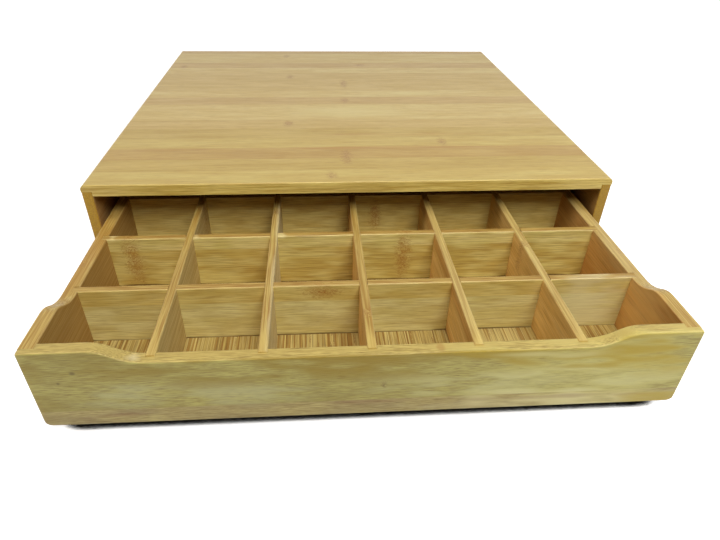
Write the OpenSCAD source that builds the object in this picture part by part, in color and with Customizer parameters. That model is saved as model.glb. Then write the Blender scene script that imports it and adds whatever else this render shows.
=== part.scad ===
// Coffee capsule drawer: a low bamboo cabinet with one sliding drawer, divided into a grid of compartments.
// Millimetres, +Z up. X runs from left to right and Y from front to back.
// The origin is the middle of the cabinet's underside. The drawer is drawn pulled part of the way out.

/* [Cabinet] */
// Outside width of the cabinet, left to right
cabinet_w = 340; // [320:1:400]
// Outside depth of the cabinet, front to back
cabinet_d = 340; // [320:1:400]
// Thickness of the top and bottom boards
panel_t = 7.5; // [6:0.1:12]
// Thickness of the side boards
side_t = 6.5; // [5:0.1:12]
// Thickness of the back board
back_t = 6.5; // [5:0.1:12]
// Part of the top and bottom boards' thickness that covers the ends of the sides
lip_t = 4.5; // [3.5:0.1:5]
// Rounding of the outer long edges of the top and bottom boards
corner_r = 3; // [1.5:0.1:3.2]
// Easing of the other edges that a hand meets
ease_r = 0.8; // [0.3:0.1:1.2]

/* [Drawer box] */
// Height of the drawer front at its two raised ends
front_h = 47.5; // [44:0.5:70]
// Rise of the two ends above the dividers
ear_rise = 7; // [4:0.5:10]
// Drop of the front's lowered middle below the dividers
scoop_drop = 0.6; // [0.3:0.1:3]
// Length of each raised end, along the front and along the side
ear_len = 29; // [22:1:29]
// Rounding of the front's two lower corners
foot_r = 4; // [1:0.5:8]
// Thickness of the drawer front
front_t = 7.2; // [6:0.1:12]
// Thickness of the drawer back
rear_t = 7.2; // [6:0.1:12]
// Part of the front's and back's thickness that covers the ends of the drawer sides
box_lip_t = 3.6; // [2:0.1:4.5]
// Thickness of the drawer sides
wall_t = 7.5; // [6:0.1:12]
// Thickness of the drawer bottom
floor_t = 4; // [3:0.1:8]
// Height of the drawer bottom's underside above the drawer's lower edges
floor_lift = 1.9; // [1:0.1:6]

/* [Drawer grid] */
// Thickness of the dividers
divider_t = 4.6; // [3:0.1:6]
// Depth of the housings that hold the dividers' ends and the edges of the drawer bottom
housing_d = 3; // [1.5:0.1:4]

/* [Fits] */
// Clear gap between the drawer and each side of the cabinet
side_gap = 4; // [1:0.1:8]
// Clear height between the drawer's raised ends and the top board
ear_gap = 9.5; // [3:0.5:20]
// Gap left behind the shut drawer
stop_gap = 0.5; // [0.3:0.1:3]
// How far the shut drawer's front lies behind the cabinet's front edges
front_recess = 4; // [0:0.5:10]
// How far the drawer is pulled out, measured between the two front faces
pull_out = 134; // [0:1:270]

/* [Hidden] */
// Compartments from left to right and from front to back
columns = 6;
rows = 6;
// Cabinet sizes that follow from the others
opening_w = cabinet_w - 2 * side_t;
cabinet_h = 2 * panel_t + front_h + ear_gap;
// Drawer sizes that follow from the cabinet
drawer_w = opening_w - 2 * side_gap;
drawer_d = cabinet_d - back_t - stop_gap - front_recess;
inner_w = drawer_w - 2 * wall_t;
inner_d = drawer_d - front_t - rear_t;
cell_w = (inner_w - (columns - 1) * divider_t) / columns;
cell_d = (inner_d - (rows - 1) * divider_t) / rows;
// Heights above the drawer's lower edges
wall_h = front_h - ear_rise;
floor_top = floor_lift + floor_t;
divider_h = wall_h - floor_top;
scoop_h = wall_h - scoop_drop;
// The S-curve's two arcs meet on the line between their centres. That line is the long side of this
// triangle, whose three sides are whole numbers, so the arcs meet exactly
triangle_run = 28;
triangle_fall = 45;
triangle_line = 53;
// Share of the line that lies in the lower arc's radius
lower_share = 3 / 5;
// Half the length of the front's lowered middle
low_half = drawer_w / 2 - ear_len - curve_run(front_h - scoop_h);
// Where the S-curve of a drawer side ends, behind the front face
wall_low = ear_len + curve_run(ear_rise);
// How far a cut runs past the face it opens
over = 1;
// Bamboo tints
top_tint = [0.78, 0.68, 0.47];
edge_tint = [0.75, 0.62, 0.36];
front_tint = [0.66, 0.60, 0.38];
grid_tint = [0.68, 0.54, 0.30];
floor_tint = [0.55, 0.41, 0.24];
$fn = 96;

// Middle of a long divider, counted from the left
function long_x(i) = -inner_w / 2 + i * cell_w + (i - 1 / 2) * divider_t;

// Middle of a cross divider behind the drawer's front face, counted from the front
function cross_y(i) = front_t + i * cell_d + (i - 1 / 2) * divider_t;

// Length of an S-curve that climbs the given rise, and its two radii
function curve_run(rise) = rise * triangle_run / (triangle_line - triangle_fall);
function lower_r(rise) = lower_share * rise * triangle_line / (triangle_line - triangle_fall);
function upper_r(rise) = lower_r(rise) * (1 - lower_share) / lower_share;

// The same thing on the right and, mirrored, on the left
module both_ends() {
    children();
    mirror([1, 0, 0]) children();
}

// A section drawn as depth and height, drawn out to the right
module along_x(length) {
    rotate([90, 0, 90]) linear_extrude(length) children();
}

// A section drawn as width and height, drawn out to the back
module along_y(length) {
    translate([0, length, 0]) rotate([90, 0, 0]) linear_extrude(length) children();
}

// From the drawer's own place, with its front face and lower edges at zero, to its place in the cabinet
module in_drawer() {
    translate([0, -cabinet_d / 2 - pull_out, panel_t]) children();
}

// What is cut from a corner at zero, whose board lies to the left and below, to round it
module corner_waste(r) {
    difference() {
        translate([-r, -r]) square(2 * r);
        translate([-r, -r]) circle(r);
    }
}

// What lies above an S-curve of two arcs that starts level at zero and climbs to the right
module curve_waste(rise) {
    bend = lower_share * curve_run(rise);
    intersection() {
        square([bend, rise + over]);
        translate([0, lower_r(rise)]) circle(lower_r(rise));
    }
    difference() {
        translate([bend, 0]) square([curve_run(rise) - bend, rise + over]);
        translate([curve_run(rise), rise - upper_r(rise)]) circle(upper_r(rise));
    }
}

// Top board, lying at zero height: rebated ends, rounded outer edges, eased front and back edges
module carcass_board() {
    difference() {
        translate([0, -cabinet_d / 2, 0]) along_y(cabinet_d) difference() {
            translate([-cabinet_w / 2, 0]) square([cabinet_w, panel_t]);
            both_ends() translate([opening_w / 2, -over]) square([side_t + over, panel_t - lip_t + over]);
            both_ends() translate([cabinet_w / 2, panel_t]) corner_waste(corner_r);
        }
        translate([-cabinet_w / 2 - over, 0, 0]) along_x(cabinet_w + 2 * over)
            both_ends() translate([cabinet_d / 2, panel_t]) corner_waste(ease_r);
    }
}

// Right side board of the cabinet, eased at the front edges and the outer back edge
module carcass_side() {
    translate([opening_w / 2, 0, lip_t]) linear_extrude(cabinet_h - 2 * lip_t) difference() {
        translate([0, -cabinet_d / 2]) square([side_t, cabinet_d]);
        translate([side_t, cabinet_d / 2]) corner_waste(ease_r);
        translate([side_t, -cabinet_d / 2]) mirror([0, 1]) corner_waste(ease_r);
        translate([0, -cabinet_d / 2]) rotate(180) corner_waste(ease_r);
    }
}

// Front view of the drawer front: two raised ends, lowered middle, rounded lower corners
module front_outline() {
    difference() {
        translate([-drawer_w / 2, 0]) square([drawer_w, front_h]);
        translate([-low_half, scoop_h]) square([2 * low_half, front_h - scoop_h + over]);
        both_ends() translate([low_half, scoop_h]) curve_waste(front_h - scoop_h);
        both_ends() translate([drawer_w / 2, 0]) mirror([0, 1]) corner_waste(foot_r);
    }
}

// Side view of a drawer side, drawn forwards from the foot of its S-curve: low behind it, raised before it
module wall_outline() {
    difference() {
        translate([wall_low + box_lip_t - drawer_d, 0]) square([drawer_d - 2 * box_lip_t, front_h]);
        translate([-drawer_d, wall_h]) square([drawer_d, ear_rise + over]);
        translate([0, wall_h]) curve_waste(ear_rise);
    }
}

// Left drawer side with its housings
module drawer_wall() {
    difference() {
        translate([-inner_w / 2, wall_low, 0]) rotate([90, 0, -90]) linear_extrude(wall_t) wall_outline();
        cross_housings();
        floor_board();
    }
}

// The rebates at both ends of the drawer front or back, from the given depth to the next
module end_rebates(from_y, to_y) {
    both_ends() translate([inner_w / 2, from_y, -over])
        cube([wall_t + over, to_y - from_y, front_h + 2 * over]);
}

// Drawer bottom, with its edges in the grooves of the box
module floor_board() {
    translate([-inner_w / 2 - housing_d, front_t - housing_d, floor_lift])
        cube([inner_w + 2 * housing_d, inner_d + 2 * housing_d, floor_t]);
}

// The space that the long dividers need in the drawer front and back
module long_housings() {
    for (i = [1 : columns - 1])
        translate([long_x(i) - divider_t / 2, front_t - housing_d, floor_top])
            cube([divider_t, inner_d + 2 * housing_d, divider_h + over]);
}

// The space that the cross dividers need in the drawer sides
module cross_housings() {
    for (i = [1 : rows - 1])
        translate([-inner_w / 2 - housing_d, cross_y(i) - divider_t / 2, floor_top])
            cube([inner_w + 2 * housing_d, divider_t, divider_h + over]);
}

// Section of a divider standing on zero, with eased upper edges
module divider_section() {
    difference() {
        translate([-divider_t / 2, 0]) square([divider_t, divider_h]);
        both_ends() translate([divider_t / 2, divider_h]) corner_waste(ease_r);
    }
}

// A divider from front to back, halved from below where the cross dividers pass
module long_divider(i) {
    difference() {
        translate([long_x(i), front_t - housing_d, floor_top])
            along_y(inner_d + 2 * housing_d) divider_section();
        for (j = [1 : rows - 1])
            translate([long_x(i) - divider_t / 2 - over, cross_y(j) - divider_t / 2, floor_top - over])
                cube([divider_t + 2 * over, divider_t, divider_h / 2 + over]);
    }
}

// A divider from left to right, halved from above where the long dividers pass
module cross_divider(j) {
    difference() {
        translate([-inner_w / 2 - housing_d, cross_y(j), floor_top])
            along_x(inner_w + 2 * housing_d) divider_section();
        for (i = [1 : columns - 1])
            translate([long_x(i) - divider_t / 2, cross_y(j) - divider_t / 2 - over, floor_top + divider_h / 2])
                cube([divider_t, divider_t + 2 * over, divider_h / 2 + over]);
    }
}

// Top of the cabinet
module cabinet_top() {
    color(top_tint) translate([0, 0, cabinet_h - panel_t]) carcass_board();
}

// Bottom of the cabinet, the same board turned over
module cabinet_bottom() {
    color(top_tint) translate([0, 0, panel_t]) mirror([0, 0, 1]) carcass_board();
}

// Left side of the cabinet
module cabinet_left_side() {
    color(edge_tint) mirror([1, 0, 0]) carcass_side();
}

// Right side of the cabinet
module cabinet_right_side() {
    color(edge_tint) carcass_side();
}

// Back of the cabinet, between the other four boards
module cabinet_back() {
    color(edge_tint) translate([-opening_w / 2, cabinet_d / 2 - back_t, panel_t])
        cube([opening_w, back_t, cabinet_h - 2 * panel_t]);
}

// Front of the drawer, with rebated ends and housings on its inner face
module drawer_front() {
    color(front_tint) in_drawer() difference() {
        along_y(front_t) front_outline();
        end_rebates(box_lip_t, front_t + over);
        long_housings();
        floor_board();
        both_ends() translate([drawer_w / 2, 0, -over]) linear_extrude(front_h + 2 * over)
            mirror([0, 1]) corner_waste(ease_r);
    }
}

// Left side of the drawer
module drawer_left_side() {
    color(edge_tint) in_drawer() drawer_wall();
}

// Right side of the drawer
module drawer_right_side() {
    color(edge_tint) in_drawer() mirror([1, 0, 0]) drawer_wall();
}

// Back of the drawer, with rebated ends and housings on its inner face
module drawer_back() {
    color(edge_tint) in_drawer() difference() {
        translate([-drawer_w / 2, drawer_d - rear_t, 0]) cube([drawer_w, rear_t, wall_h]);
        end_rebates(drawer_d - rear_t - over, drawer_d - box_lip_t);
        long_housings();
        floor_board();
    }
}

// Bottom of the drawer
module drawer_bottom() {
    color(floor_tint) in_drawer() floor_board();
}

// Dividers from front to back, counted from the left
module long_divider_1() {
    color(grid_tint) in_drawer() long_divider(1);
}

module long_divider_2() {
    color(grid_tint) in_drawer() long_divider(2);
}

module long_divider_3() {
    color(grid_tint) in_drawer() long_divider(3);
}

module long_divider_4() {
    color(grid_tint) in_drawer() long_divider(4);
}

module long_divider_5() {
    color(grid_tint) in_drawer() long_divider(5);
}

// Dividers from left to right, counted from the front
module cross_divider_1() {
    color(grid_tint) in_drawer() cross_divider(1);
}

module cross_divider_2() {
    color(grid_tint) in_drawer() cross_divider(2);
}

module cross_divider_3() {
    color(grid_tint) in_drawer() cross_divider(3);
}

module cross_divider_4() {
    color(grid_tint) in_drawer() cross_divider(4);
}

module cross_divider_5() {
    color(grid_tint) in_drawer() cross_divider(5);
}

cabinet_top();
cabinet_bottom();
cabinet_left_side();
cabinet_right_side();
cabinet_back();
drawer_front();
drawer_left_side();
drawer_right_side();
drawer_back();
drawer_bottom();
long_divider_1();
long_divider_2();
long_divider_3();
long_divider_4();
long_divider_5();
cross_divider_1();
cross_divider_2();
cross_divider_3();
cross_divider_4();
cross_divider_5();
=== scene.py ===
"""Bamboo drawer for coffee capsules: the looks.

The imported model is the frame. It gives every board its place, in metres, and stays as it is.
Three boards of the tray have curved tops that want a soft arris, so they are modelled here and
stand for their nodes. Every board gets bamboo of its own cut, and a white studio with soft light
is set round the object.
"""

import logging
import math
from dataclasses import dataclass, field, replace
from enum import Enum
from typing import Any, Callable

import bmesh
import bpy
import numpy as np
from mathutils import Matrix, Vector


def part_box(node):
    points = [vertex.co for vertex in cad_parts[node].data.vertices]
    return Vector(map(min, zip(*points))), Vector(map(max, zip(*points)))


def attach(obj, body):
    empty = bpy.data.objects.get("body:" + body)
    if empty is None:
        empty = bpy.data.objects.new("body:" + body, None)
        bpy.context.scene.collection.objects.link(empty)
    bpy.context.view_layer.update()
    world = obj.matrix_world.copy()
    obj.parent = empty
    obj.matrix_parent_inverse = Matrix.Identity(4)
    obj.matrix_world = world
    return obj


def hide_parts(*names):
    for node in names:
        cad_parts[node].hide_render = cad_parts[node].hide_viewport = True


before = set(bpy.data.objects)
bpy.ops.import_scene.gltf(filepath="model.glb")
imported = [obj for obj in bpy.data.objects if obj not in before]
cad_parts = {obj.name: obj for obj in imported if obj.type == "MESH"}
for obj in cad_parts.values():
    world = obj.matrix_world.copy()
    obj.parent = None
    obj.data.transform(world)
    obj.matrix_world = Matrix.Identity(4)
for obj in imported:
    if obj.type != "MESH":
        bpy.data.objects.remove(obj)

LOG = logging.getLogger("capsule_drawer")
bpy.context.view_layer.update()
MM = 0.001  # one millimetre in metres
IMAGE_PX = (720, 540)

# Sockets of a colour Mix node, which have no names of their own
FACTOR, FIRST, SECOND, MIXED = 0, 6, 7, 2

# The clear lacquer, and how strongly the fibres' relief shows through it
LACQUER_IOR = 1.48
RELIEF_STRENGTH = 0.5

# Soft spots: the distance, in half sizes, where a spot is gone and where it is full, and how far
# the noise pushes that distance
SPOT_GONE, SPOT_FULL, SPOT_SHAKE = 1.5, 0.5, 0.8

# Nodes: waves per millimetre of the noise that frays a curl and of the noise that bends its fibres,
# how far each of them reaches, and the full middle of a curl as a share of its half length
FRAY_SCALE, FRAY_MM = 0.35, 8.0
BEND_SCALE, BEND_MM = 0.3, 8.0
CURL_CORE = 0.2

# How far apart the culms of two strips may lie in the pattern: along, across and in depth
CULM_SPREAD_MM = (900.0, 170.0, 130.0)

# Fibre noise: the fall from one octave to the next, and the values that count as 0 and as 1
OCTAVE_FALL = 0.6
NOISE_LOW, NOISE_HIGH = 0.33, 0.7

# Size of the face normal where the colour of a cut face starts, and where it is full
CUT_STARTS, CUT_FULL = 0.55, 0.85

# Lean of an arris, the product of two parts of its normal, where its colour starts and is full
ARRIS_STARTS, ARRIS_FULL = 0.1, 0.5

# Share of a node's stain that lies between its dark fibres
STAIN_BETWEEN = 0.15

# Depth of the tray's front face at rest
FRONT_FACE_MM = -304.0

Socket = bpy.types.NodeSocket
Heights = Callable[[np.ndarray], np.ndarray]
TonePair = tuple[str, str]


def linear(hex_colour: str) -> tuple[float, float, float, float]:
    """Turn an sRGB hex value such as #C8AC62 into linear RGBA.

    Args:
        hex_colour: Six hex digits after a hash sign.

    Returns:
        Linear red, green, blue and an alpha of 1.
    """
    channels = np.array([int(hex_colour[i:i + 2], 16) for i in (1, 3, 5)]) / 255
    low, high = channels / 12.92, ((channels + 0.055) / 1.055) ** 2.4
    red, green, blue = np.where(channels <= 0.04045, low, high)
    return float(red), float(green), float(blue), 1.0


class Axis(Enum):
    """Axes of the frame: X to the right, Y to the back and Z up."""

    X = 0
    Y = 1
    Z = 2


class ToneOrder(Enum):
    """How the strips of a board come by their tones."""

    CHANCE = "each strip draws a tone"
    PLACE = "tones run in order across the board"


class ShaderTree:
    """The nodes of a material or of the world, written one call at a time."""

    def __init__(self, owner: bpy.types.Material | bpy.types.World) -> None:
        """Empty the owner's node tree and keep it.

        Args:
            owner: The material or the world to write in.
        """
        owner.use_nodes = True
        self.tree = owner.node_tree
        self.tree.nodes.clear()

    def add(self, kind: str, inputs: dict[int | str, Any] | None = None,
            out: int | str = 0, **settings: Any) -> Any:
        """Add a node, give it its settings and feed its inputs.

        Args:
            kind: Type of the node, without the ShaderNode in front.
            inputs: Sockets to link, or constants to set, by the input's name or number.
            out: Name or number of the output to hand back.
            settings: Properties of the node itself.

        Returns:
            The chosen output socket, or None where the node has no output.
        """
        node = self.tree.nodes.new("ShaderNode" + kind)
        for name, value in settings.items():
            setattr(node, name, value)
        for key, value in (inputs or {}).items():
            if isinstance(value, Socket):
                self.tree.links.new(value, node.inputs[key])
            else:
                node.inputs[key].default_value = value
        return node.outputs[out] if len(node.outputs) else None


@dataclass(frozen=True)
class Spot:
    """A soft-edged spot on a board: its middle and its half sizes along, across and in depth."""

    along_mm: float
    across_mm: float
    depth_mm: float = 0.0
    half_length_mm: float = 5.0
    half_width_mm: float = 10.0
    half_depth_mm: float = 1000.0


@dataclass(frozen=True)
class Patch:
    """Spots of one colour that lie over the grain: a stain, a pale place, wear, painted light and painted
    shade.
    """

    colour: str
    strength: float
    spots: tuple[Spot, ...]


@dataclass(frozen=True)
class Fibre:
    """One layer of lengthwise fibre: how long, wide, strong and finely split its streaks are."""

    length_mm: float
    width_mm: float
    strength: float
    detail: float = 2.0


@dataclass(frozen=True)
class BambooFinish:
    """Laminated bamboo, planed and sanded, under a satin clear lacquer.

    The eye sees strips in slightly different straw tones with a thin line where they are glued,
    fine fibres along them, a darker curl at each node of the culm, and a paler sanded arris.
    """

    name: str
    grain: Axis
    across: Axis
    tones: tuple[TonePair, ...]
    edge: TonePair
    end: TonePair
    fibre: str
    arris: str
    node: str
    # Tone of faces turned to positive depth, painted light that stands in for the light from the right
    painted_light_face: TonePair | None = None
    order: ToneOrder = ToneOrder.CHANCE
    strip_mm: float = 19.0
    strip_origin_mm: float = 0.0
    ply_mm: float = 400.0
    ply_origin_mm: float = -200.0
    mirrored_plies: bool = False
    stagger: float = 0.0
    seed: float = 0.0
    cloud: Fibre = Fibre(60.0, 6.0, 0.9, 1.0)
    streak: Fibre = Fibre(40.0, 0.8, 0.3)
    dash: Fibre = Fibre(18.0, 0.5, 0.5)
    seam_mm: float = 0.5
    seam_strength: float = 0.28
    arris_strength: float = 0.2
    nodes: tuple[Spot, ...] = ()
    node_gap_mm: float = 0.0
    node_strength: float = 0.6
    patches: tuple[Patch, ...] = ()
    roughness: tuple[float, float] = (0.42, 0.56)
    bump_mm: float = 0.12

    def build(self) -> bpy.types.Material:
        """Write the material.

        Returns:
            The new material, which reads Object coordinates alone.
        """
        material = bpy.data.materials.new(self.name)
        shader = ShaderTree(material)
        place, sides = self._board_axes(shader)
        lane, luck = self._strips(shader, place)
        curl = self._curls(shader, place, luck)
        own_place = self._own_culm(shader, place, luck, curl)
        cloud, streak, dash = (self._fibres(shader, own_place, layer)
                               for layer in (self.cloud, self.streak, self.dash))
        colour = self._tone(shader, lane, luck, cloud)
        colour = self._cut_faces(shader, colour, sides, streak)
        dark = self._dark_share(shader, lane, cloud, streak, dash)
        colour = shader.add("Mix", {FACTOR: dark, FIRST: colour, SECOND: linear(self.fibre)},
                            MIXED, data_type="RGBA")
        colour = self._node_colour(shader, colour, curl, dash)
        colour = self._overlay(shader, colour, place, cloud, sides)
        gloss = shader.add("MapRange", {"Value": streak, "To Min": self.roughness[0],
                                        "To Max": self.roughness[1]})
        relief = shader.add("Math", {0: dark, 1: curl}, operation="ADD")
        bump = shader.add("Bump", {"Strength": RELIEF_STRENGTH, "Height": relief,
                                   "Distance": self.bump_mm * MM}, invert=True)
        surface = shader.add("BsdfPrincipled", {"Base Color": colour, "Roughness": gloss,
                                                "IOR": LACQUER_IOR, "Normal": bump})
        shader.add("OutputMaterial", {"Surface": surface})
        return material

    def _board_axes(self, shader: ShaderTree) -> tuple[Socket, list[Socket]]:
        """Turn Object coordinates into the board's own: along the grain, across it and in depth.

        Args:
            shader: The tree to write in.

        Returns:
            The place as a vector in millimetres, and the face normal's size along, across and in
            depth, with its signed depth last.
        """
        depth = next(axis for axis in Axis if axis not in (self.grain, self.across))
        source = shader.add("TexCoord", out="Object")
        scaled = shader.add("VectorMath", {0: source, 1: (1 / MM,) * 3}, operation="MULTIPLY")
        parts = shader.add("SeparateXYZ", {0: scaled}).node.outputs
        order = (self.grain, self.across, depth)
        place = shader.add("CombineXYZ", {i: parts[axis.value] for i, axis in enumerate(order)})
        normal = shader.add("TexCoord", out="Normal")
        signed = shader.add("SeparateXYZ", {0: normal}, depth.value)
        facing = shader.add("VectorMath", {0: normal}, operation="ABSOLUTE")
        facing = shader.add("SeparateXYZ", {0: facing}).node.outputs
        return place, [facing[axis.value] for axis in order] + [signed]

    def _strips(self, shader: ShaderTree, place: Socket) -> tuple[Socket, Socket]:
        """Count the strips across the board and the plies in its depth.

        Args:
            shader: The tree to write in.
            place: The board's own coordinates.

        Returns:
            The place across the board in strip widths, and three random numbers for each strip.
        """
        parts = shader.add("SeparateXYZ", {0: place}).node.outputs
        depth = parts[2]
        if self.mirrored_plies:
            depth = shader.add("Math", {0: depth}, operation="ABSOLUTE")
        ply = shader.add("MapRange", {"Value": depth, "From Min": self.ply_origin_mm,
                                      "From Max": self.ply_origin_mm + self.ply_mm}, clamp=False)
        ply = shader.add("Math", {0: ply}, operation="FLOOR")
        lane = shader.add("MapRange", {"Value": parts[1], "From Min": self.strip_origin_mm,
                                       "From Max": self.strip_origin_mm + self.strip_mm}, clamp=False)
        shift = shader.add("TexWhiteNoise", {"W": ply}, noise_dimensions="1D")
        lane = shader.add("Math", {0: shift, 1: self.stagger, 2: lane}, operation="MULTIPLY_ADD")
        number = shader.add("Math", {0: lane}, operation="FLOOR")
        cell = shader.add("CombineXYZ", {0: number, 1: ply, 2: self.seed})
        luck = shader.add("TexWhiteNoise", {"Vector": cell}, "Color", noise_dimensions="3D")
        return lane, luck

    @staticmethod
    def _spots(shader: ShaderTree, place: Socket, spots: tuple[Spot, ...],
               noise: Socket) -> Socket | float:
        """Find how far each point lies inside some soft spots.

        The share is a smooth bell of the distance from the spot's middle, which is counted in the
        spot's half sizes and shaken by the noise, so that the edge is ragged.

        Args:
            shader: The tree to write in.
            place: The board's own coordinates.
            spots: The spots to look for.
            noise: Noise from 0 to 1.

        Returns:
            The share of the nearest spot, from 0 to 1.
        """
        share: Socket | float = 0.0
        for spot in spots:
            centre = (spot.along_mm, spot.across_mm, spot.depth_mm)
            reach = (1 / spot.half_length_mm, 1 / spot.half_width_mm, 1 / spot.half_depth_mm)
            gap = shader.add("VectorMath", {0: place, 1: centre}, operation="SUBTRACT")
            gap = shader.add("VectorMath", {0: gap, 1: reach}, operation="MULTIPLY")
            gap = shader.add("VectorMath", {0: gap}, "Value", operation="LENGTH")
            gap = shader.add("Math", {0: noise, 1: SPOT_SHAKE, 2: gap}, operation="MULTIPLY_ADD")
            bell = shader.add("MapRange", {"Value": gap, "From Min": SPOT_GONE,
                                           "From Max": SPOT_FULL}, interpolation_type="SMOOTHSTEP")
            share = shader.add("Math", {0: bell, 1: share}, operation="MAXIMUM")
        return share

    def _curls(self, shader: ShaderTree, place: Socket, luck: Socket) -> Socket | float:
        """Find how much of a node's curl lies at each point.

        A board with a node gap has, beside its own spots, a bell along each strip at every gap,
        from a random start.

        Args:
            shader: The tree to write in.
            place: The board's own coordinates.
            luck: Random numbers of the strip.

        Returns:
            The share of curl, from 0 to 1.
        """
        wobble = shader.add("TexNoise", {"Vector": place, "Scale": FRAY_SCALE, "Detail": 3.0})
        curl = self._spots(shader, place, self.nodes, wobble)
        if self.node_gap_mm:
            chance = shader.add("SeparateXYZ", {0: luck}, 1)
            along = shader.add("SeparateXYZ", {0: place})
            along = shader.add("Math", {0: wobble, 1: FRAY_MM, 2: along}, operation="MULTIPLY_ADD")
            turn = shader.add("MapRange", {"Value": along, "From Max": self.node_gap_mm}, clamp=False)
            turn = shader.add("Math", {0: turn, 1: chance}, operation="ADD")
            turn = shader.add("Math", {0: turn}, operation="FRACT")
            off = shader.add("Math", {0: turn, 1: 0.5}, operation="SUBTRACT")
            off = shader.add("Math", {0: off}, operation="ABSOLUTE")
            reach = Spot.half_length_mm / self.node_gap_mm
            bell = shader.add("MapRange", {"Value": off, "From Min": reach,
                                           "From Max": reach * CURL_CORE},
                              interpolation_type="SMOOTHSTEP")
            curl = shader.add("Math", {0: bell, 1: curl}, operation="MAXIMUM")
        return curl

    def _own_culm(self, shader: ShaderTree, place: Socket, luck: Socket, curl: Socket | float) -> Socket:
        """Move each strip's pattern to a culm of its own, and bend the fibres round its nodes.

        Args:
            shader: The tree to write in.
            place: The board's own coordinates.
            luck: Random numbers of the strip.
            curl: Share of curl at the point.

        Returns:
            The place in the pattern, in millimetres.
        """
        jump = shader.add("VectorMath", {0: luck, 1: CULM_SPREAD_MM, 2: place},
                          operation="MULTIPLY_ADD")
        swirl = shader.add("TexNoise", {"Vector": place, "Scale": BEND_SCALE, "Detail": 2.0}, "Color")
        swirl = shader.add("VectorMath", {0: swirl, 1: (0.5,) * 3}, operation="SUBTRACT")
        swirl = shader.add("VectorMath", {0: swirl, "Scale": curl}, operation="SCALE")
        return shader.add("VectorMath", {0: swirl, 1: (BEND_MM,) * 3, 2: jump},
                          operation="MULTIPLY_ADD")

    @staticmethod
    def _fibres(shader: ShaderTree, place: Socket, layer: Fibre) -> Socket:
        """Lay noise that is drawn out along the grain to the layer's length and width.

        Args:
            shader: The tree to write in.
            place: The place in the pattern.
            layer: Sizes of the streaks.

        Returns:
            The noise, from 0 to 1.
        """
        squeeze = (1 / layer.length_mm, 1 / layer.width_mm, 1 / layer.width_mm)
        drawn = shader.add("VectorMath", {0: place, 1: squeeze}, operation="MULTIPLY")
        noise = shader.add("TexNoise", {"Vector": drawn, "Scale": 1.0, "Detail": layer.detail,
                                        "Roughness": OCTAVE_FALL})
        return shader.add("MapRange", {"Value": noise, "From Min": NOISE_LOW, "From Max": NOISE_HIGH},
                          interpolation_type="SMOOTHSTEP")

    def _tone(self, shader: ShaderTree, lane: Socket, luck: Socket, cloud: Socket) -> Socket:
        """Pick each strip's pair of straw tones, and let the cloud drift between the two.

        Args:
            shader: The tree to write in.
            lane: The place across the board in strip widths.
            luck: Random numbers of the strip.
            cloud: Broad drift of tone.

        Returns:
            The colour of the strip.
        """
        if self.order is ToneOrder.PLACE:
            number = shader.add("Math", {0: lane}, operation="FLOOR")
            number = shader.add("Math", {0: number, 1: 0.5}, operation="ADD")
            pick = shader.add("Math", {0: number, 1: len(self.tones)}, operation="DIVIDE")
        else:
            pick = shader.add("SeparateXYZ", {0: luck})
        shades = []
        for side in range(2):
            shade = shader.add("ValToRGB", {"Fac": pick})
            ramp = shade.node.color_ramp
            ramp.interpolation = "CONSTANT"
            for i, pair in enumerate(self.tones):
                stop = ramp.elements[i] if i < len(ramp.elements) else ramp.elements.new(1.0)
                stop.position = i / len(self.tones)
                stop.color = linear(pair[side])
            shades.append(shade)
        drift = shader.add("MapRange", {"Value": cloud, "To Min": 0.5 - self.cloud.strength / 2,
                                        "To Max": 0.5 + self.cloud.strength / 2})
        return shader.add("Mix", {FACTOR: drift, FIRST: shades[0], SECOND: shades[1]}, MIXED,
                          data_type="RGBA")

    def _cut_faces(self, shader: ShaderTree, colour: Socket, sides: list[Socket],
                   streak: Socket) -> Socket:
        """Tint the strips' cut edges and ends, and paint light on faces turned to positive depth.

        Args:
            shader: The tree to write in.
            colour: The strips' colour.
            sides: Size of the face normal along, across and in depth, and its signed depth.
            streak: Long fibres.

        Returns:
            The colour with its cut faces.
        """
        cuts = [(sides[1], self.edge), (sides[0], self.end)]
        if self.painted_light_face:
            cuts.insert(0, (sides[3], self.painted_light_face))
        for side, (shaded, pale) in cuts:
            share = shader.add("MapRange", {"Value": side, "From Min": CUT_STARTS,
                                            "From Max": CUT_FULL})
            tint = shader.add("Mix", {FACTOR: streak, FIRST: linear(pale), SECOND: linear(shaded)},
                              MIXED, data_type="RGBA")
            colour = shader.add("Mix", {FACTOR: share, FIRST: colour, SECOND: tint}, MIXED,
                                data_type="RGBA")
        return colour

    def _dark_share(self, shader: ShaderTree, lane: Socket, cloud: Socket, streak: Socket,
                    dash: Socket) -> Socket:
        """Add up how much darker fibre shows: streaks, short dashes and glue lines.

        Args:
            shader: The tree to write in.
            lane: The place across the board in strip widths.
            cloud: Broad drift of tone.
            streak: Long fibres.
            dash: Short dark bundles.

        Returns:
            The share of dark fibre, from 0 to 1.
        """
        share = shader.add("Math", {0: streak, 1: self.streak.strength}, operation="MULTIPLY")
        rare = shader.add("Math", {0: dash, 1: 2.0}, operation="POWER")
        share = shader.add("Math", {0: rare, 1: self.dash.strength, 2: share},
                           operation="MULTIPLY_ADD")
        off = shader.add("Math", {0: lane, 1: 1.0}, operation="PINGPONG")
        reach = self.seam_mm / self.strip_mm
        seam = shader.add("MapRange", {"Value": off, "From Min": reach, "From Max": 0.0,
                                       "To Max": self.seam_strength})
        return shader.add("Math", {0: seam, 1: cloud, 2: share}, operation="MULTIPLY_ADD",
                          use_clamp=True)

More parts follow.
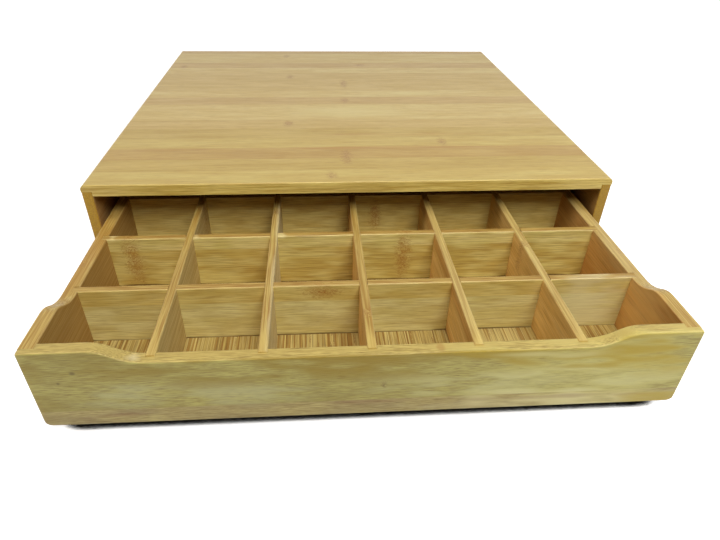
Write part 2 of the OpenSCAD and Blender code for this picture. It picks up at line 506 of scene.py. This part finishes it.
    def _node_colour(self, shader: ShaderTree, colour: Socket, curl: Socket | float,
                     dash: Socket) -> Socket:
        """Stain the curls of the nodes brown, more where short fibres are dark.

        Args:
            shader: The tree to write in.
            colour: The board's colour.
            curl: Share of curl at the point.
            dash: Short dark bundles.

        Returns:
            The stained colour.
        """
        stain = shader.add("MapRange", {"Value": dash, "To Min": STAIN_BETWEEN})
        stain = shader.add("Math", {0: stain, 1: curl}, operation="MULTIPLY")
        stain = shader.add("Math", {0: stain, 1: self.node_strength}, operation="MULTIPLY")
        return shader.add("Mix", {FACTOR: stain, FIRST: colour, SECOND: linear(self.node)},
                          MIXED, data_type="RGBA")

    def _overlay(self, shader: ShaderTree, colour: Socket, place: Socket, cloud: Socket,
                 sides: list[Socket]) -> Socket:
        """Pale the eased arrises, which lean both across and in depth, and lay the patches on.

        Args:
            shader: The tree to write in.
            colour: The board's colour.
            place: The board's own coordinates.
            cloud: Broad drift of tone.
            sides: Size of the face normal along, across and in depth, and its signed depth.

        Returns:
            The colour with its arrises and patches.
        """
        lean = shader.add("Math", {0: sides[1], 1: sides[2]}, operation="MULTIPLY")
        share = shader.add("MapRange", {"Value": lean, "From Min": ARRIS_STARTS,
                                        "From Max": ARRIS_FULL, "To Max": self.arris_strength})
        colour = shader.add("Mix", {FACTOR: share, FIRST: colour, SECOND: linear(self.arris)},
                            MIXED, data_type="RGBA")
        for patch in self.patches:
            share = self._spots(shader, place, patch.spots, cloud)
            share = shader.add("Math", {0: share, 1: patch.strength}, operation="MULTIPLY")
            colour = shader.add("Mix", {FACTOR: share, FIRST: colour, SECOND: linear(patch.colour)},
                                MIXED, data_type="RGBA")
        return colour


@dataclass(frozen=True)
class Ogee:
    """An S-curve of two arcs that meet with one tangent, hollow below and round above."""

    run_mm: float
    rise_mm: float
    low_share: float = 0.6

    def height(self, distance_mm: np.ndarray) -> np.ndarray:
        """Give the curve's height over its low end.

        With the turn t = 2 atan(rise / run), both arcs turn by t and their radii add up to
        run / sin t. The hollow arc rises as r - sqrt(r^2 - d^2) from the low end, and the round
        arc falls in the same way from the high end.

        Args:
            distance_mm: Distance from the low end, along the run.

        Returns:
            Height in millimetres, level before and after the curve.
        """
        turn = 2 * math.atan2(self.rise_mm, self.run_mm)
        radii = self.run_mm / math.sin(turn)
        hollow, crown = radii * self.low_share, radii * (1 - self.low_share)
        ahead = np.clip(distance_mm, 0, self.run_mm)
        low_part = np.clip(ahead, 0, hollow * math.sin(turn))
        high_part = np.clip(self.run_mm - ahead, 0, crown * math.sin(turn))
        low = hollow - np.sqrt(hollow**2 - low_part**2)
        high = self.rise_mm - crown + np.sqrt(crown**2 - high_part**2)
        return np.where(ahead < hollow * math.sin(turn), low, high)


@dataclass
class HousedBoard:
    """A board on edge with a shaped top, eased arrises and housings for divider ends.

    Its skin is a grid: a ring round the cross-section at each station along the board. The
    ring is a rectangle in thickness and height with a quarter circle of its own at each corner,
    and its sides move with the station, which gives the shaped top, the shoulders and the housings.
    """

    start_mm: float
    finish_mm: float
    thick_mm: float
    low_mm: float
    top: Heights
    housings_mm: list[tuple[float, float]]
    housing_depth_mm: float
    bends_mm: list[tuple[float, float]]
    shoulder_mm: float = 0.0
    lip_mm: float = 0.0
    end_round_mm: float = 0.0
    foot_round_mm: float = 0.0
    ease_mm: float = 0.8
    arc_steps: int = 5
    bend_steps: int = 28
    hair_mm: float = 1e-5
    weld_mm: float = 0.001

    def stations(self) -> np.ndarray:
        """Choose the places along the board where a ring is needed.

        Returns:
            Sorted places in millimetres: the ends, a pair a hair apart at every step of the inner
            face, even steps along each bend, and angle steps in the rounded ends.
        """
        steps = [edge for pair in self.housings_mm for edge in pair]
        if self.shoulder_mm:
            steps += [self.start_mm + self.shoulder_mm, self.finish_mm - self.shoulder_mm]
        pairs = np.add.outer(np.array(steps), np.array([-self.hair_mm, self.hair_mm])).ravel()
        bends = [np.linspace(low, high, self.bend_steps + 1) for low, high in self.bends_mm]
        turn = np.sin(np.linspace(0, math.pi / 2, 2 * self.arc_steps + 1))
        ends = [np.array([self.start_mm, self.finish_mm])]
        for radius in (self.end_round_mm, self.foot_round_mm):
            inset = radius * (1 - turn)
            ends += [self.start_mm + inset, self.finish_mm - inset]
        return np.unique(np.concatenate([pairs, *bends, *ends]))

    def rings(self) -> np.ndarray:
        """Work out the grid of points.

        Returns:
            Array of stations by ring points by (length, thickness, height), in millimetres.
        """
        place = self.stations()
        from_end = np.minimum(place - self.start_mm, self.finish_mm - place)
        housed = np.zeros(place.shape, bool)
        for low, high in self.housings_mm:
            housed |= (place > low) & (place < high)
        lipped = from_end < self.shoulder_mm
        outer = self._rounding(from_end, self.end_round_mm)
        inner = np.where(lipped, self.lip_mm, self.thick_mm - self.housing_depth_mm * housed)
        low = self.low_mm + self._rounding(from_end, self.foot_round_mm)
        high = self.top(place) - self._rounding(from_end, self.end_round_mm)
        plain = np.full(place.shape, self.ease_mm)
        closed = np.where(lipped | housed, 0.0, self.ease_mm)
        corners = ((outer, low, plain, -1, -1), (inner, low, closed, 1, -1),
                   (inner, high, closed, 1, 1), (outer, high, plain, -1, 1))
        sweep = np.linspace(0, math.pi / 2, self.arc_steps + 1)
        parts = []
        for i, (side, level, radius, out, up) in enumerate(corners):
            angle = math.pi + i * math.pi / 2 + sweep
            across = side[:, None] + radius[:, None] * (np.cos(angle) - out)
            above = level[:, None] + radius[:, None] * (np.sin(angle) - up)
            parts.append(np.stack([np.broadcast_to(place[:, None], across.shape), across, above], -1))
        return np.concatenate(parts, 1)

    @staticmethod
    def _rounding(from_end: np.ndarray, radius: float) -> np.ndarray:
        """Give the inset of a rounded end, r - sqrt(r^2 - (r - d)^2) at the distance d from it."""
        left = np.clip(radius - from_end, 0, radius)
        return radius - np.sqrt(np.maximum(radius**2 - left**2, 0))

    def mesh(self, name: str, turn: Matrix) -> bpy.types.Object:
        """Make the board's object.

        Args:
            name: Name of the piece.
            turn: Takes length, thickness and height, in metres, into the frame.

        Returns:
            The new object, at the origin, with its place in its mesh.
        """
        rings = self.rings()
        rows, columns = rings.shape[:2]
        points = rings.reshape(-1, 3) * MM
        points = points @ np.array(turn.to_3x3()).T + np.array(turn.translation)
        number = np.arange(rows * columns).reshape(rows, columns)
        beside = np.roll(number, -1, 1)
        quads = np.stack([number[:-1], number[1:], beside[1:], beside[:-1]], -1).reshape(-1, 4)
        faces = quads.tolist() + [number[0].tolist(), number[-1].tolist()]
        mesh = bpy.data.meshes.new(name)
        mesh.from_pydata(points.tolist(), [], faces)
        tidy = bmesh.new()
        tidy.from_mesh(mesh)
        bmesh.ops.remove_doubles(tidy, verts=tidy.verts, dist=self.weld_mm * MM)
        bmesh.ops.recalc_face_normals(tidy, faces=tidy.faces)
        tidy.to_mesh(mesh)
        tidy.free()
        board = bpy.data.objects.new(name, mesh)
        bpy.context.scene.collection.objects.link(board)
        return board


def box_mm(node: str) -> tuple[np.ndarray, np.ndarray]:
    """Give a node's lowest and highest corners at rest, in millimetres."""
    low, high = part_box(node)
    return np.array(low) / MM, np.array(high) / MM


def wear(piece: bpy.types.Object, material: bpy.types.Material) -> None:
    """Put one material on every slot of a piece, or on a new slot where it has none.

    Args:
        piece: The object to dress.
        material: Its material.
    """
    if not piece.material_slots:
        piece.data.materials.append(material)
    for slot in piece.material_slots:
        slot.material = material
    LOG.info("%s wears %s", piece.name, material.name)


# Colours that most boards share: dark fibres, a sanded arris and the stain of a node
FIBRES = dict(fibre="#8F6930", arris="#D8C285", node="#8E5F2E")
# Tone pairs of the broad boards, between which each strip drifts
PALE, STRAW, ROSY = ("#C7AB62", "#D2BC78"), ("#BEA158", "#CAAF6A"), ("#BA9A57", "#C6A968")
GOLD, HONEY, AMBER = ("#BEA253", "#CAB466"), ("#B5994A", "#C3A85C"), ("#B08E46", "#BE9F56")

# The top shows broad strips from side to side, golden near the front and pale straw behind, the
# pale straw partly a painted sheen, with thin glue lines and a brown curl here and there
TOP_PANEL = BambooFinish(
    "lacquered_bamboo_top", Axis.X, Axis.Y, **FIBRES, edge=("#C2A346", "#DEC66E"),
    end=("#9C782E", "#B5934A"), order=ToneOrder.PLACE, strip_mm=19.3, strip_origin_mm=-170.3,
    tones=(GOLD, HONEY, AMBER, GOLD, HONEY, STRAW, PALE, PALE, ROSY,
           PALE, STRAW, STRAW, STRAW, PALE, ROSY, PALE, PALE, ROSY), seed=3.0, seam_strength=0.4,
    cloud=Fibre(55.0, 8.0, 0.75, 1.0), streak=Fibre(30.0, 0.8, 0.18), dash=Fibre(9.0, 0.6, 0.3),
    roughness=(0.36, 0.48), node_strength=0.8,
    nodes=(Spot(-47, 67), Spot(4, 44, half_width_mm=18), Spot(2, -6, half_width_mm=9),
           Spot(-45, -63, half_width_mm=9), Spot(-3, -130, half_width_mm=17),
           Spot(-14, -160, half_width_mm=7), Spot(69, -103, half_width_mm=10),
           Spot(24, 110, half_length_mm=7, half_width_mm=7), Spot(-155, 104, half_width_mm=8),
           Spot(-53, 147, half_length_mm=4, half_width_mm=9)),
    patches=(Patch("#D6C888", 0.45, (Spot(8, -34, half_length_mm=60, half_width_mm=16),
                                     Spot(60, 15, half_length_mm=40, half_width_mm=8))),
             Patch("#A8742E", 0.3, (Spot(95, -35, half_length_mm=60, half_width_mm=2.5),
                                    Spot(40, -88, half_length_mm=110, half_width_mm=2.5),
                                    Spot(-20, -113, half_length_mm=130, half_width_mm=2.5)))))

# The bottom is the same board with its strips in no order
PANEL = replace(
    TOP_PANEL, name="lacquered_bamboo_panel", tones=(PALE, STRAW, ROSY), order=ToneOrder.CHANCE,
    seed=5.0, nodes=(), patches=(), node_gap_mm=260.0)

# The case's sides show their golden end grain at the front and brown straw inside
CASE_SIDE = BambooFinish(
    "lacquered_bamboo_case_side", Axis.Y, Axis.Z, **FIBRES, edge=("#B2924A", "#CBAF60"),
    end=("#AA820E", "#B8921A"), tones=(("#B08A50", "#C0A064"), ("#A67C44", "#B79056")),
    strip_origin_mm=4.0, ply_mm=3.25, ply_origin_mm=163.5, mirrored_plies=True, seed=7.0,
    node_gap_mm=240.0, patches=(Patch("#8E6A08", 0.35, (Spot(-170, 36, 167, 3, 100, 9),)),))

# The case's back is plain straw, in two tones
CASE_BACK = BambooFinish(
    "lacquered_bamboo_case_back", Axis.X, Axis.Z, **FIBRES, edge=("#B2924A", "#CBAF60"),
    end=("#A07714", "#C29C2C"), tones=(("#C2A55E", "#D0B874"), ("#B4904C", "#C4A462")),
    strip_origin_mm=4.0, seed=9.0, node_gap_mm=250.0)

# The tray's front is one broad board of greenish straw with short fine fibres. It is paler in the
# middle and to the right, stained olive along its top, reddish low down, and pale on its rim
TRAY_FRONT = BambooFinish(
    "lacquered_bamboo_front", Axis.X, Axis.Z, fibre="#6C5220", arris="#CDB96E", node="#5E4010",
    edge=("#BEA65A", "#CAB366"), end=("#907838", "#A89250"), order=ToneOrder.PLACE, strip_mm=60.0,
    strip_origin_mm=-42.5, tones=(("#9C8B55", "#B8A663"), ("#9E9243", "#B9AE5D")), seed=11.0,
    cloud=Fibre(34.0, 7.0, 0.8, 1.0), streak=Fibre(8.0, 0.5, 0.5), dash=Fibre(5.0, 0.45, 0.36),
    seam_mm=1.5, node_strength=0.8,
    nodes=(Spot(6, 28, half_length_mm=2, half_width_mm=4),),
    patches=(Patch("#E3D984", 0.5, (Spot(112, 26, half_length_mm=88, half_width_mm=60),)),
             Patch("#C8C592", 0.4, (Spot(82, 26, half_length_mm=78, half_width_mm=11),
                                    Spot(-112, 28, half_length_mm=30, half_width_mm=10),
                                    Spot(-66, 25, half_length_mm=36, half_width_mm=9))),
             Patch("#DCCFA0", 0.42, (Spot(85, 11, half_length_mm=75, half_width_mm=8),)),
             # Olive and golden stains, reddish fibres and a pale fleck
             Patch("#8A7004", 0.85, (Spot(12, 47, FRONT_FACE_MM, 125, 14, 0.9),
                                     Spot(8, 44, FRONT_FACE_MM, 45, 8, 0.9))),
             Patch("#8A7004", 0.35, (Spot(-75, 33, half_length_mm=40, half_width_mm=4),
                                     Spot(-120, 39, half_length_mm=36, half_width_mm=6),
                                     Spot(-162, 34, half_length_mm=16, half_width_mm=32))),
             Patch("#AA9016", 0.5, (Spot(80, 46, FRONT_FACE_MM, 70, 12, 0.9),)),
             Patch("#AA9016", 0.8, (Spot(138, 41, half_length_mm=40, half_width_mm=13),
                                    Spot(152, 10, half_length_mm=26, half_width_mm=8))),
             Patch("#7E5026", 0.38, (Spot(-124, 13, half_length_mm=18, half_width_mm=2.2),
                                     Spot(4, 16, half_length_mm=40, half_width_mm=1.6),
                                     Spot(85, 14.5, half_length_mm=55, half_width_mm=1.8))),
             Patch("#D2CB8C", 0.6, (Spot(88, 44, half_length_mm=28, half_width_mm=3.5),)),
             # The rim, with a node and a worn place, and two dark specks under the left ear
             Patch("#B79F57", 0.7, (Spot(60, 51, -299.6, 400, 9, 2.9),)),
             Patch("#9A6A2C", 0.45, (Spot(32.5, 47.4, -300, 2, 3, 4),)),
             Patch("#DDD0A6", 0.5, (Spot(-110, 48, -300, 4, 3, 4),)),
             Patch("#4C3400", 0.65, (Spot(-137.7, 42.1, half_length_mm=1.6, half_width_mm=1.3),
                                     Spot(-145.6, 36.1, half_length_mm=1.1, half_width_mm=1.1)))))

# The tray's sides are amber to the left and browner to the right, with straw along their tops
TRAY_SIDE = BambooFinish(
    "lacquered_bamboo_tray_side", Axis.Y, Axis.Z, **FIBRES, edge=("#A37F36", "#C2A75C"),
    # Faces turned right get a browner tone of painted light
    end=("#9A7426", "#B59242"), painted_light_face=("#967031", "#A68243"),
    tones=(("#C5914A", "#D4A563"), ("#BA843F", "#CA9855"), ("#AF7835", "#BF8A48")),
    strip_origin_mm=9.0, ply_mm=3.75, ply_origin_mm=152.0, mirrored_plies=True, seed=13.0,
    cloud=Fibre(30.0, 6.0, 0.9, 1.0), streak=Fibre(40.0, 0.7, 0.3), dash=Fibre(18.0, 0.5, 0.45),
    node_gap_mm=230.0, patches=(
        # Painted shade with warm bounce light on the left side's top, where it runs in under the case
        Patch("#A2701E", 0.4, (Spot(-200, 48, -155, 60, 7, 9),)),
        Patch("#DECD94", 0.2, (Spot(-220, 48, 155, 80, 7, 9),)),
        # A painted pool of light on the right side's inner face in the first row
        Patch("#F0BE6C", 0.35, (Spot(-265, 32, 152, 26, 40, 2),))))

# The tray's back is pale straw, in two tones
TRAY_BACK = BambooFinish(
    "lacquered_bamboo_tray_back", Axis.X, Axis.Z, **FIBRES, edge=("#A37F36", "#C2A75C"),
    end=("#9A7426", "#B59242"), tones=(("#C9B066", "#D8C47E"), ("#BB9C54", "#CBB06C")),
    strip_origin_mm=9.0, seed=15.0, node_gap_mm=230.0)

# Where a wall stands on the tray's floor, a thin dark line along its foot is painted shade in the crease
FOOT_SHADE = Patch("#4E3318", 0.8, (Spot(0, 13.4, half_length_mm=1000, half_width_mm=1.1),))

# Dividers from front to back are amber to the left and greyer straw to the right, where the greyer
# straw is painted light, and pale where they end in the front's rim
LONG_STRIP = BambooFinish(
    "lacquered_bamboo_long_divider", Axis.Y, Axis.Z, **FIBRES, edge=("#9C7832", "#C6AD62"),
    end=("#9A7426", "#B59242"), painted_light_face=("#AE9555", "#C8B273"),
    tones=(("#D1A456", "#E0B76C"), ("#C79549", "#D7A95F"), ("#BC863E", "#CD9C53")),
    strip_origin_mm=13.4, ply_mm=51.4333, ply_origin_mm=25.71667, stagger=1.0, seed=17.0,
    cloud=Fibre(30.0, 6.0, 0.9, 1.0), streak=Fibre(40.0, 0.7, 0.3), dash=Fibre(18.0, 0.5, 0.45),
    node_gap_mm=250.0, patches=(
        FOOT_SHADE, Patch("#9A7626", 0.2, (Spot(-200, 48, -102.9, 200, 4, 4),
                                          Spot(-200, 48, 0, 200, 4, 4))),
        Patch("#7C5A22", 0.16, (Spot(-200, 30, -100.6, 200, 60, 1.5),)),
        Patch("#DCC986", 0.2, (Spot(-200, 48, 51.4, 200, 4, 4),
                               Spot(-200, 48, 102.9, 200, 4, 4))),
        Patch("#D8CCA0", 0.35, (Spot(-200, 30, -49.4, 200, 60, 1.5),)),
        Patch("#D2B868", 0.5, (Spot(-300, 48, half_length_mm=14, half_width_mm=3),))))

# Dividers from side to side are yellow straw with fine, even fibres
CROSS_STRIP = BambooFinish(
    "lacquered_bamboo_cross_divider", Axis.X, Axis.Z, fibre="#83561A", arris="#D8C285",
    node="#96591A", edge=("#987632", "#BA9C52"), end=("#9A7426", "#B59242"), strip_mm=9.0,
    strip_origin_mm=13.4, tones=(("#D9C875", "#E8DE92"), ("#D0B664", "#DFCC7C")), ply_mm=53.2,
    ply_origin_mm=-272.5, stagger=1.0, seed=19.0, cloud=Fibre(22.0, 6.0, 1.0, 1.0),
    streak=Fibre(18.0, 0.55, 0.3), dash=Fibre(9.0, 0.5, 0.26), node_strength=0.9,
    nodes=(Spot(17, 33, half_length_mm=6, half_width_mm=14),), patches=(FOOT_SHADE,))

# The first of them has one long node high up and a paler right end
FIRST_CROSS_STRIP = replace(
    CROSS_STRIP, name="lacquered_bamboo_first_cross_divider", order=ToneOrder.PLACE, stagger=0.0,
    tones=(("#D0BF74", "#DDD08A"), ("#C9AF5C", "#D8C372")), strip_mm=24.2, seed=23.0,
    nodes=(Spot(-23, 43.5, half_length_mm=15, half_width_mm=5.5),),
    patches=(FOOT_SHADE, Patch("#EEE4B4", 0.35, (Spot(128, 32, half_length_mm=28, half_width_mm=30),))))

# The second has two tall nodes and worn places on its top edge
SECOND_CROSS_STRIP = replace(
    CROSS_STRIP, name="lacquered_bamboo_second_cross_divider", order=ToneOrder.PLACE, stagger=0.0,
    tones=(("#C7AC57", "#DDCB78"), ("#D4C26F", "#E7D689")), strip_mm=26.0, seed=25.0,
    streak=Fibre(30.0, 0.6, 0.34), dash=Fibre(14.0, 0.5, 0.34),
    nodes=(Spot(-139, 33, half_length_mm=8, half_width_mm=24),
           Spot(30, 33, half_length_mm=7, half_width_mm=24)),
    patches=(FOOT_SHADE, Patch("#E2D294", 0.6, tuple(
        Spot(x, 48, half_length_mm=3, half_width_mm=1.8) for x in (-149, -99, -47)))))

# The tray's floor is pressed slivers: hair-thin lines of straw and brown, from front to back
TRAY_FLOOR = BambooFinish(
    "pressed_bamboo_floor", Axis.Y, Axis.X, fibre="#75501F", arris="#D8C285", node="#8E5F2E",
    edge=("#A98B44", "#C2A65C"), end=("#9A7426", "#B59242"), strip_mm=0.9,
    tones=(("#CAB367", "#DBC980"), ("#C2A95D", "#D3BE76"), ("#C8B063", "#D8C57C"),
           ("#BA9D50", "#CBB368"), ("#9A7536", "#B28E46")),
    seed=21.0, cloud=Fibre(40.0, 4.0, 0.9, 1.0), streak=Fibre(60.0, 0.5, 0.4),
    dash=Fibre(25.0, 0.5, 0.6), seam_mm=0.2, seam_strength=0.5, node_gap_mm=240.0,
    roughness=(0.5, 0.65),
    patches=(Patch("#F0E09A", 0.3, (Spot(-275, 77, half_length_mm=40, half_width_mm=26),)),))


@dataclass
class Cabinet:
    """The fixed case: five boards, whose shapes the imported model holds."""

    finishes: dict[str, BambooFinish] = field(default_factory=lambda: {
        "cabinet_top": TOP_PANEL, "cabinet_bottom": PANEL, "cabinet_back": CASE_BACK,
        "cabinet_left_side": CASE_SIDE, "cabinet_right_side": CASE_SIDE})

    def dress(self) -> None:
        """Give every board of the case its finish."""
        dress_nodes(self.finishes)


@dataclass
class Drawer:
    """The sliding tray: a front with a finger scoop, two eared sides and the grid of dividers."""

    dividers: int = 5
    scoop_half_mm: float = 103.9
    front_curve: Ogee = Ogee(26.6, 7.6)
    ear_mm: float = 29.0
    side_curve: Ogee = Ogee(24.5, 7.0)
    foot_round_mm: float = 4.0
    end_round_mm: float = 1.2

    def build(self) -> None:
        """Model the front and both sides in place of their nodes."""
        front_low, front_high = box_mm("drawer_front")
        side_low, side_high = box_mm("drawer_right_side")
        scoop_z = front_high[2] - self.front_curve.rise_mm
        long_boxes = [box_mm(f"long_divider_{i + 1}") for i in range(self.dividers)]
        curve_end = self.scoop_half_mm + self.front_curve.run_mm
        front = HousedBoard(
            start_mm=front_low[0], finish_mm=front_high[0], thick_mm=front_high[1] - front_low[1],
            low_mm=front_low[2], housings_mm=[(low[0], high[0]) for low, high in long_boxes],
            top=lambda x: scoop_z + self.front_curve.height(np.abs(x) - self.scoop_half_mm),
            housing_depth_mm=front_high[1] - long_boxes[0][0][1],
            bends_mm=[(-curve_end, -self.scoop_half_mm), (self.scoop_half_mm, curve_end)],
            shoulder_mm=side_high[0] - side_low[0], lip_mm=side_low[1] - front_low[1],
            end_round_mm=self.end_round_mm, foot_round_mm=self.foot_round_mm)
        board = front.mesh("drawer_front_board", Matrix.Translation((0, front_low[1] * MM, 0)))
        self._install(board, "drawer_front", "bamboo_front")

        ear_end = front_low[1] + self.ear_mm
        wall_z = front_high[2] - self.side_curve.rise_mm
        curve_foot = ear_end + self.side_curve.run_mm
        cross_boxes = [box_mm(f"cross_divider_{i + 1}") for i in range(self.dividers)]
        side = HousedBoard(
            start_mm=side_low[1], finish_mm=side_high[1], thick_mm=side_high[0] - side_low[0],
            low_mm=side_low[2], housings_mm=[(low[1], high[1]) for low, high in cross_boxes],
            top=lambda y: wall_z + self.side_curve.height(curve_foot - y),
            housing_depth_mm=cross_boxes[0][1][0] - side_low[0], bends_mm=[(ear_end, curve_foot)])
        for hand, name in ((-1, "left"), (1, "right")):
            turn = Matrix(((0, -hand, 0, hand * side_high[0] * MM), (1, 0, 0, 0), (0, 0, 1, 0),
                           (0, 0, 0, 1)))
            board = side.mesh(f"drawer_{name}_side_board", turn)
            self._install(board, f"drawer_{name}_side", "bamboo_board")

    @staticmethod
    def _install(board: bpy.types.Object, node: str, slot: str) -> None:
        """Let a modelled board stand for its node and ride on the tray.

        Args:
            board: The modelled board.
            node: Name of the node that it replaces.
            slot: Not used.
        """
        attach(board, "drawer")
        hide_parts(node)
        LOG.info("%s stands for %s", board.name, node)

    def dress(self) -> None:
        """Give the modelled boards and the rest of the tray their finishes."""
        wear(bpy.data.objects["drawer_front_board"], TRAY_FRONT.build())
        sides = TRAY_SIDE.build()
        for name in ("left", "right"):
            wear(bpy.data.objects[f"drawer_{name}_side_board"], sides)
        finishes = {"drawer_back": TRAY_BACK, "drawer_bottom": TRAY_FLOOR}
        for i in range(self.dividers):
            finishes[f"long_divider_{i + 1}"] = LONG_STRIP
            finishes[f"cross_divider_{i + 1}"] = CROSS_STRIP
        finishes |= {"cross_divider_1": FIRST_CROSS_STRIP, "cross_divider_2": SECOND_CROSS_STRIP}
        dress_nodes(finishes)


def dress_nodes(finishes: dict[str, BambooFinish]) -> None:
    """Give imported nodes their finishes, one material for each finish.

    Args:
        finishes: Finish of each node, by the node's name.
    """
    built: dict[str, bpy.types.Material] = {}
    for node, finish in finishes.items():
        if finish.name not in built:
            built[finish.name] = finish.build()
        wear(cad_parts[node], built[finish.name])


@dataclass(frozen=True)
class Softbox:
    """A square soft light that faces the object."""

    name: str
    place_m: tuple[float, float, float]
    size_m: float
    watts: float
    tint: tuple[float, float, float] = (1.0, 1.0, 1.0)


@dataclass
class Studio:
    """A white floor, soft light and the camera at the photograph's place."""

    aim_m: tuple[float, float, float] = (0.0, -0.15, 0.03)
    floor_m: float = 6.0
    floor_white: str = "#F4F4F4"
    floor_bounce: str = "#B0B0B0"
    contact_dark: str = "#20201A"
    shadow_reach_m: float = 0.02
    shadow_sky: tuple[float, float] = (0.385, 0.435)
    shadow_samples: int = 32
    near_glow: float = 0.5
    glow_span_m: tuple[float, float] = (0.3, 0.7)
    fill: float = 0.02
    lights: tuple[Softbox, ...] = (
        Softbox("key", (0.187, -0.898, 0.949), 0.5, 11.0),
        Softbox("right_fill", (0.679, -0.270, 0.609), 0.5, 2.7, (0.95, 1.0, 1.06)),
        Softbox("left_fill", (-1.509, -0.416, 1.316), 0.8, 18.6, (1.0, 0.93, 0.86)),
    )
    camera_m: tuple[float, float, float] = (-0.0245, -0.4949, 0.2255)
    heading_deg: float = 4.69
    pitch_deg: float = 35.743
    roll_deg: float = 1.242
    focal_px: float = 557.77
    centre_px: tuple[float, float] = (355.93, 285.43)
    sensor_mm: float = 36.0
    near_clip_m: float = 0.01

    def build(self) -> None:
        """Set up the floor, the world, the lights and the camera."""
        bpy.context.scene.view_settings.view_transform = "Standard"
        self._floor()
        self._world()
        for light in self.lights:
            self._light(light)
        self._camera()

    def _seen(self, shader: ShaderTree) -> Socket:
        """Find the rays that show the backdrop itself: from the camera, in gloss or through glass.

        Args:
            shader: The tree to write in.

        Returns:
            1 for such a ray and 0 for any other.
        """
        path = shader.add("LightPath").node.outputs
        seen = shader.add("Math", {0: path["Is Camera Ray"], 1: path["Is Glossy Ray"]},
                          operation="ADD", use_clamp=True)
        return shader.add("Math", {0: seen, 1: path["Is Transmission Ray"]}, operation="ADD",
                          use_clamp=True)

    def _floor(self) -> None:
        """Lay a matt white floor that keeps the object's shadow.

        Where little open sky is left close above the floor, ambient occlusion draws the dark line
        under the object. The floor glows where it is seen: less near the object, so that the cast
        shadow shows, and fully farther out, where it meets the white world. To all other rays it is
        grey, so it throws back less light than it shows.
        """
        half = self.floor_m / 2
        mesh = bpy.data.meshes.new("floor")
        mesh.from_pydata([(-half, -half, 0), (half, -half, 0), (half, half, 0), (-half, half, 0)], [],
                         [(0, 1, 2, 3)])
        floor = bpy.data.objects.new("floor", mesh)
        bpy.context.scene.collection.objects.link(floor)
        material = bpy.data.materials.new("matt_white_floor")
        shader = ShaderTree(material)
        seen = self._seen(shader)
        sky = shader.add("AmbientOcclusion", {"Distance": self.shadow_reach_m}, "AO",
                         samples=self.shadow_samples)
        dark, white = self.shadow_sky
        lit = shader.add("MapRange", {"Value": sky, "From Min": dark, "From Max": white})
        colour = shader.add("Mix", {FACTOR: lit, FIRST: linear(self.contact_dark),
                                    SECOND: linear(self.floor_white)}, MIXED, data_type="RGBA")
        colour = shader.add("Mix", {FACTOR: seen, FIRST: linear(self.floor_bounce), SECOND: colour},
                            MIXED, data_type="RGBA")
        place = shader.add("TexCoord", out="Object")
        away = shader.add("VectorMath", {0: place}, "Value", operation="LENGTH")
        glow = shader.add("MapRange", {"Value": away, "From Min": self.glow_span_m[0],
                                       "From Max": self.glow_span_m[1], "To Min": self.near_glow})
        glow = shader.add("Math", {0: glow, 1: lit}, operation="MULTIPLY")
        glow = shader.add("Math", {0: glow, 1: seen}, operation="MULTIPLY")
        surface = shader.add("AddShader", {0: shader.add("BsdfDiffuse", {"Color": colour}),
                                           1: shader.add("Emission", {"Strength": glow})})
        shader.add("OutputMaterial", {"Surface": surface})
        wear(floor, material)

    def _world(self) -> None:
        """Make the world white where it is seen, and an even fill light elsewhere."""
        world = bpy.data.worlds.new("studio")
        bpy.context.scene.world = world
        shader = ShaderTree(world)
        strength = shader.add("MapRange", {"Value": self._seen(shader), "To Min": self.fill, "To Max": 1.0})
        sky = shader.add("Background", {"Color": (1, 1, 1, 1), "Strength": strength})
        shader.add("OutputWorld", {"Surface": sky})

    def _light(self, softbox: Softbox) -> None:
        """Hang a soft light and aim it at the object.

        Args:
            softbox: The light's place, size and power.
        """
        lamp = bpy.data.lights.new(softbox.name, "AREA")
        lamp.size = softbox.size_m
        lamp.energy = softbox.watts
        lamp.color = softbox.tint
        light = bpy.data.objects.new(softbox.name, lamp)
        bpy.context.scene.collection.objects.link(light)
        aim = Vector(self.aim_m) - Vector(softbox.place_m)
        light.location = softbox.place_m
        light.rotation_euler = aim.to_track_quat("-Z", "Y").to_euler()

    def _camera(self) -> None:
        """Put the camera where the photograph was taken, with the photograph's own framing."""
        width, height = IMAGE_PX
        lens = bpy.data.cameras.new("camera")
        lens.sensor_width = self.sensor_mm
        lens.lens = self.focal_px / width * self.sensor_mm
        lens.shift_x = (width / 2 - self.centre_px[0]) / width
        lens.shift_y = (self.centre_px[1] - height / 2) / width
        lens.clip_start = self.near_clip_m
        camera = bpy.data.objects.new("camera", lens)
        bpy.context.scene.collection.objects.link(camera)
        turn = Matrix.Rotation(math.radians(-self.heading_deg), 4, "Z")
        tilt = Matrix.Rotation(math.radians(90 - self.pitch_deg), 4, "X")
        roll = Matrix.Rotation(math.radians(self.roll_deg), 4, "Z")
        camera.matrix_world = Matrix.Translation(self.camera_m) @ turn @ tilt @ roll
        bpy.context.scene.camera = camera


def main() -> None:
    """Build and dress the case and the tray, then set the studio round them."""
    logging.basicConfig(level=logging.INFO, format="%(name)s: %(message)s")
    Cabinet().dress()
    tray = Drawer()
    tray.build()
    tray.dress()
    Studio().build()


if __name__ == "__main__":
    main()
